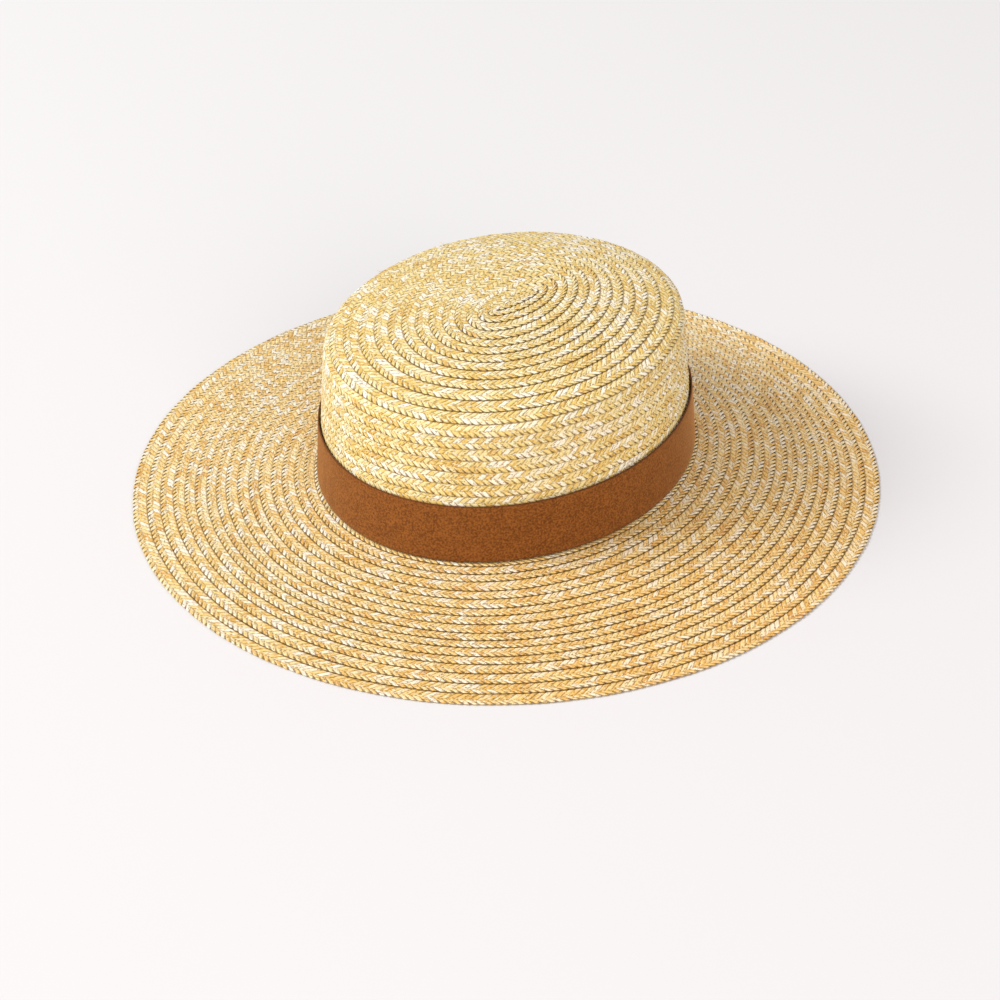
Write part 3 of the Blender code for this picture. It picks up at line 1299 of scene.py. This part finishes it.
@dataclass(frozen=True)
class Crown:
    """The tip and the side wall: one spiral of braid from the middle of the tip.

    row_table gives the width of the row at some turns of the spiral.
    """

    plait: Plait = Plait(bead=0.0007)
    row_table: tuple[Pair, ...] = (
        (0.0, 0.00345),
        (2.0, 0.00508),
        (4.0, 0.00620),
        (6.0, 0.00572),
        (8.0, 0.00608),
        (10.0, 0.00595),
        (12.0, 0.00721),
        (15.0, 0.00580),
        (20.0, 0.00607),
        (40.0, 0.00630),
    )
    table_step: float = 0.05
    first_edge: float = -0.00213
    tip_turns: float = 14.0
    bar_turn: float = 0.45
    start_angle: float = -math.pi / 2
    tip_seed: int = 11
    wall_seed: int = 12
    finish: StrawFinish = StrawFinish(
        name="crown_straw",
        orange=(0.74, 0.47, 0.12),
        golden=(0.81, 0.60, 0.18),
        straw=(0.85, 0.69, 0.27),
        pale=(0.91, 0.81, 0.46),
        cream=(0.97, 0.95, 0.84),
        side_shade_share=0.35,
        tooth_width=0.40,
        hollow_shade=(0.070, 0.038, 0.010),
    )

    def spiral(self) -> Spiral:
        """Lay out the crown's spiral.

        Returns:
            The spiral, with row widths from the table of rows.
        """
        line = SHAPE.crown_line()
        total = line.lengths()[-1]
        rows = np.array(self.row_table)
        turns = np.arange(0.0, rows[-1, 0], self.table_step)
        widths = np.interp(turns, rows[:, 0], rows[:, 1])
        steps = (widths[1:] + widths[:-1]) / 2 * self.table_step
        edges = np.concatenate([[0.0], np.cumsum(steps)])
        return Spiral(line, turns, edges + self.first_edge, self.start_angle, total)

    def last_turn(self, spiral: Spiral) -> float:
        """Return the turn at which the braid has run out at the foot."""
        return float(np.interp(spiral.last_edge - MILLIMETRE, spiral.edges, spiral.turns))

    def build(self) -> list[bpy.types.Object]:
        """Build and dress the braid of the tip and of the side wall.

        Returns:
            The two pieces.
        """
        spiral = self.spiral()
        material = self.finish.material()
        tip_end = self.tip_turns
        foot = self.last_turn(spiral)
        runs = (
            BraidRun("tip_braid", spiral, 0.0, tip_end, self.tip_seed, bar_end=self.bar_turn),
            BraidRun("wall_braid", spiral, tip_end, foot, self.wall_seed),
        )
        pieces = []
        for run in runs:
            pieces.append(finish(run.mesh(self.plait), material, "crown", "crown_straw"))
        return pieces


@dataclass(frozen=True)
class Brim:
    """The brim: a second spiral of the same braid, level rows stepped at the back.

    row_edges are the distances of the rows' inner edges from the crown's wall, and
    piece_turns the turns at which the braid is parted into pieces. The brim has no bar
    in its middle, so bar_turn lies before its first turn.
    """

    plait: Plait = Plait()
    row_edges: tuple[float, ...] = (
        0.0024, 0.0074, 0.0122, 0.0183, 0.0236, 0.0297, 0.0346, 0.0402,
        0.0458, 0.0506, 0.0553, 0.0608, 0.0658, 0.0714, 0.0776, 0.0839,
    )
    rim_drop: float = 0.0010
    piece_names: tuple[str, ...] = ("brim_braid_inner", "brim_braid_middle", "brim_braid_outer")
    piece_turns: tuple[float, ...] = (-0.26, 6.0, 11.0, 17.0)
    bar_turn: float = -1.0
    end_trim: float = 0.02
    start_angle: float = math.pi * 0.9
    first_seed: int = 21
    finish: StrawFinish = StrawFinish(
        name="brim_straw",
        orange=(0.72, 0.40, 0.10),
        golden=(0.83, 0.56, 0.17),
        straw=(0.90, 0.69, 0.28),
        pale=(0.94, 0.81, 0.46),
        cream=(0.97, 0.94, 0.82),
        side_shade_share=0.80,
        seed=8.0,
    )

    def spiral(self) -> Spiral:
        """Lay out the brim's spiral from the head opening to the rim.

        The table starts a turn early, so that the first row widens from nothing and
        leaves no gap where it steps outwards.

        Returns:
            The spiral.
        """
        line = SHAPE.brim_line(self.rim_drop)
        collar = SHAPE.half_width - SHAPE.inner_half_width
        edges = [0.0, 0.0]
        for beyond_wall in self.row_edges:
            edges.append(collar + beyond_wall)
        rim = line.lengths()[-1]
        edges.append(rim)
        turns = np.arange(len(edges), dtype=float) - 1.0
        return Spiral(line, turns, np.array(edges), self.start_angle, rim, stepped=True)

    def build(self) -> list[bpy.types.Object]:
        """Build and dress the brim's braid from the crown to the rim.

        Returns:
            The pieces.
        """
        spiral = self.spiral()
        material = self.finish.material()
        last = float(spiral.turns[-1])
        pieces = []
        for place, name in enumerate(self.piece_names):
            run = BraidRun(
                name=name,
                spiral=spiral,
                first_turn=self.piece_turns[place],
                last_turn=min(self.piece_turns[place + 1], last - self.end_trim),
                seed=self.first_seed + place,
                bar_end=self.bar_turn,
                flat_from=last - 1.0,
            )
            pieces.append(finish(run.mesh(self.plait), material, "brim", "brim_straw"))
        return pieces


@dataclass(frozen=True)
class Ribbon:
    """The plain ribbon stretched round the foot of the crown."""

    height: float = 0.0284
    thickness: float = 0.0007
    foot_clearance: float = 0.0003
    top_standoff: float = 0.00045
    lap: float = 0.016
    lap_ramp: float = 0.020
    around_steps: int = 320
    across_steps: int = 8
    edge_soften: float = 0.0003
    edge_segments: int = 2
    start_angle: float = math.pi / 2
    finish: RibbonFinish = RibbonFinish()

    def build(self, rests_on: list[bpy.types.Object]) -> bpy.types.Object:
        """Args:
            rests_on: The pieces that the ribbon lies on; not used.

        Returns:
            The ribbon.
        """
        around = SHAPE.half_width + SHAPE.bar_half / 2
        lap_angle = self.lap / around
        ramp_angle = self.lap_ramp / around
        turn = np.linspace(0.0, FULL_TURN + lap_angle, self.around_steps)
        lift = (self.thickness + SHAPE.gap) * smooth_step(turn, FULL_TURN - ramp_angle, FULL_TURN)
        share = np.linspace(0.0, 1.0, self.across_steps + 1)
        foot = SHAPE.foot_height + SHAPE.gap
        rows = []
        for part in share:
            height = np.full_like(turn, foot + self.height * part)
            lean_in = self.height * part * math.tan(SHAPE.wall_taper)
            standoff = self.foot_clearance + (self.top_standoff - self.foot_clearance) * part
            half = SHAPE.half_width - lean_in + standoff + lift
            flat = SHAPE.oval(half, height, self.start_angle + turn)
            rows.append(SHAPE.lean(flat, np.ones_like(turn)))
        grid = np.array(rows)
        piece = self.sheet(grid, share, turn)
        solid = piece.modifiers.new("thickness", "SOLIDIFY")
        solid.thickness = self.thickness
        solid.offset = 1.0
        soft = piece.modifiers.new("soft_edges", "BEVEL")
        soft.width = self.edge_soften
        soft.segments = self.edge_segments
        soft.limit_method = "ANGLE"
        bpy.ops.object.select_all(action="DESELECT")
        piece.select_set(True)
        bpy.context.view_layer.objects.active = piece
        bpy.ops.object.modifier_apply(modifier=solid.name)
        bpy.ops.object.modifier_apply(modifier=soft.name)
        piece.data.shade_smooth()
        finish(piece, self.finish.material(), "hatband", "ribbon")
        return piece

    def sheet(self, grid: np.ndarray, share: np.ndarray, turn: np.ndarray) -> bpy.types.Object:
        """Return the ribbon's bare sheet from a grid of points.

        Args:
            grid: Points, across and then along the ribbon.
            share: Place across the ribbon of each line of points.
            turn: Place along the ribbon of each column of points.

        Returns:
            The new object, with the ribbon's coordinates in its attribute "ribbon".
        """
        lines, count, _ = grid.shape
        corner = np.arange(lines * count).reshape(lines, count)
        quads = np.stack(
            [corner[:-1, :-1], corner[:-1, 1:], corner[1:, 1:], corner[1:, :-1]], axis=-1
        ).reshape(-1, 4)
        data = bpy.data.meshes.new("ribbon")
        data.from_pydata(grid.reshape(-1, 3), [], quads.tolist())
        marks = np.zeros((lines, count, 3), dtype=np.float32)
        marks[..., 0] = turn[None, :]
        marks[..., 1] = share[:, None]
        attribute = data.attributes.new("ribbon", "FLOAT_VECTOR", "POINT")
        attribute.data.foreach_set("vector", marks.reshape(-1))
        data.update()
        piece = bpy.data.objects.new("ribbon", data)
        bpy.context.scene.collection.objects.link(piece)
        return piece


@dataclass(frozen=True)
class StrawEnd:
    """One loose straw end: where it is rooted in the braid and how it stands.

    degrees is the place round the oval from the right side and distance the place along
    the crown's base line, and turned is how many degrees the end points away from the
    way straight outwards.
    """

    degrees: float
    distance: float
    length: float
    turned: float

    @property
    def angle(self) -> float:
        """Return the place round the oval."""
        return math.radians(self.degrees)

    @property
    def heading(self) -> float:
        """Return the way on the level that the end points."""
        return math.radians(self.degrees) + math.radians(self.turned)


@dataclass(frozen=True)
class StrawEnds:
    """The few straw ends that have come out of the plait near the crown's edge."""

    name: str = "straw_ends"
    ends: tuple[StrawEnd, ...] = (
        StrawEnd(degrees=145.5, distance=0.079, length=0.0042, turned=40),
        StrawEnd(degrees=149.0, distance=0.079, length=0.0026, turned=-25),
        StrawEnd(degrees=171.0, distance=0.080, length=0.0030, turned=55),
        StrawEnd(degrees=192.5, distance=0.081, length=0.0024, turned=-50),
        StrawEnd(degrees=79.0, distance=0.073, length=0.0024, turned=30),
    )
    rise: float = math.radians(35)
    sunk: float = 0.0011
    root_radius: float = 0.00036
    point_radius: float = 0.00010
    sides: int = 8
    mark_shift: float = 0.5
    mark_across: float = 0.6

    def build(self, straw: bpy.types.Material) -> bpy.types.Object:
        """Build the ends as tapered rods, join them and dress them like the braid.

        Args:
            straw: The crown's straw material.

        Returns:
            The joined piece.
        """
        bpy.ops.object.select_all(action="DESELECT")
        rods = [self.rod(end) for end in self.ends]
        for rod in rods:
            rod.select_set(True)
        bpy.context.view_layer.objects.active = rods[0]
        bpy.ops.object.join()
        bpy.ops.object.transform_apply(location=True, rotation=True, scale=True)
        piece = bpy.context.active_object
        piece.name = self.name
        piece.data.name = self.name
        plait_marks = piece.data.attributes.new("plait", "FLOAT_VECTOR", "POINT")
        for corner, mark in zip(piece.data.vertices, plait_marks.data):
            mark.vector = (corner.co.x / MILLIMETRE + self.mark_shift, self.mark_across, 0.0)
        piece.data.shade_smooth()
        return finish(piece, straw, "crown", "crown_straw")

    def rod(self, end: StrawEnd) -> bpy.types.Object:
        """Return one tapered rod, rooted a little under the braid's surface.

        Args:
            end: The straw end.

        Returns:
            The new object.
        """
        line = SHAPE.crown_line()
        place = np.array([end.distance])
        angle = np.array([end.angle])
        share = np.ones(1)
        half, height = line.at(place, np.zeros(1))
        root = Vector(SHAPE.lean(SHAPE.oval(half, height, angle), share)[0])
        half, height = line.at(place, np.full(1, MILLIMETRE))
        above = Vector(SHAPE.lean(SHAPE.oval(half, height, angle), share)[0])
        upward = (above - root).normalized()
        outward = Vector((math.cos(end.heading), math.sin(end.heading), 0.0))
        outward = (outward - upward * outward.dot(upward)).normalized()
        way = (outward * math.cos(self.rise) + upward * math.sin(self.rise)).normalized()
        middle = root + way * (end.length / 2 - self.sunk)
        bpy.ops.mesh.primitive_cone_add(
            vertices=self.sides,
            radius1=self.root_radius,
            radius2=self.point_radius,
            depth=end.length,
            location=middle,
            rotation=way.to_track_quat("Z", "Y").to_euler(),
        )
        return bpy.context.active_object


@dataclass(frozen=True)
class SoftBox:
    """One square light that faces the hat, with its power in watts."""

    name: str
    place: Place
    side: float
    power: float
    colour: Colour


@dataclass(frozen=True)
class Studio:
    """The pale floor, the soft lights and the camera."""

    floor_size: float = 60.0
    floor_finish: PaperFinish = PaperFinish()
    lights: tuple[SoftBox, ...] = (
        SoftBox("key_light", (-3.4, -2.4, 3.4), side=2.6, power=236.0, colour=(1.0, 1.0, 1.0)),
        SoftBox("front_light", (3.8, -3.4, 2.0), side=3.6, power=150.0, colour=(1.0, 0.94, 0.88)),
        SoftBox("back_light", (-0.4, 3.8, 4.2), side=4.4, power=12.0, colour=(1.0, 1.0, 1.0)),
    )
    world_colour: Colour = (1.0, 0.965, 0.955)
    world_strength: float = 0.59
    focal_pixels: float = 2200.0
    frame_pixels: float = 1000.0
    sensor: float = 36.0
    aim_height: float = 0.04
    distance: float = 1.05118
    elevation: float = math.radians(30.320)
    azimuth: float = math.radians(28.881)
    aim_right: float = -0.00440
    aim_up: float = -0.04998
    roll: float = math.radians(1.1905)

    def build(self) -> None:
        """Build the floor, the light and the camera."""
        self.floor()
        self.world()
        for box in self.lights:
            self.light(box)
        self.camera()

    def floor(self) -> None:
        """Build the floor, which isn't part of the hat."""
        bpy.ops.object.select_all(action="DESELECT")
        bpy.ops.mesh.primitive_plane_add(size=self.floor_size, location=(0.0, 0.0, 0.0))
        floor = bpy.context.active_object
        floor.name = "studio_floor"
        floor.data.materials.append(self.floor_finish.material())

    def world(self) -> None:
        """Light the whole scene softly from all round."""
        world = bpy.data.worlds.new("studio_world")
        world.use_nodes = True
        background = world.node_tree.nodes["Background"]
        background.inputs["Color"].default_value = opaque(self.world_colour)
        background.inputs["Strength"].default_value = self.world_strength
        bpy.context.scene.world = world
        bpy.context.scene.view_settings.view_transform = "Standard"

    def light(self, box: SoftBox) -> None:
        """Add one soft box.

        Args:
            box: The soft box.
        """
        data = bpy.data.lights.new(box.name, "AREA")
        data.shape = "SQUARE"
        data.size = box.side
        data.energy = box.power
        data.color = box.colour
        lamp = bpy.data.objects.new(box.name, data)
        lamp.location = box.place
        aim = Vector((0.0, 0.0, self.aim_height)) - Vector(box.place)
        lamp.rotation_euler = aim.to_track_quat("-Z", "Y").to_euler()
        bpy.context.scene.collection.objects.link(lamp)

    def camera(self) -> None:
        """Set the camera at the photograph's angle."""
        back = Vector((
            math.sin(self.azimuth) * math.cos(self.elevation),
            -math.cos(self.azimuth) * math.cos(self.elevation),
            math.sin(self.elevation),
        ))
        right = Vector((math.cos(self.azimuth), math.sin(self.azimuth), 0.0))
        up = back.cross(right)
        middle = Vector((0.0, 0.0, self.aim_height))
        place = middle + back * self.distance
        aim = middle + right * self.aim_right + up * self.aim_up
        back = (place - aim).normalized()
        right = Vector((0.0, 0.0, 1.0)).cross(back).normalized()
        up = back.cross(right)
        rolled_right = right * math.cos(self.roll) + up * math.sin(self.roll)
        rolled_up = up * math.cos(self.roll) - right * math.sin(self.roll)
        data = bpy.data.cameras.new("camera")
        data.sensor_width = self.sensor
        data.lens = self.sensor * self.focal_pixels / self.frame_pixels
        camera = bpy.data.objects.new("camera", data)
        axes = Matrix((rolled_right, rolled_up, back)).transposed().to_4x4()
        camera.matrix_world = Matrix.Translation(place) @ axes
        bpy.context.scene.collection.objects.link(camera)
        bpy.context.scene.camera = camera


def main() -> None:
    """Build and dress the hat, then the studio round it."""
    logging.basicConfig(level=logging.INFO)
    crown = Crown().build()
    StrawEnds().build(crown[0].data.materials[0])
    brim = Brim().build()
    Ribbon().build([crown[1], brim[0]])
    Studio().build()


if __name__ == "__main__":
    main()
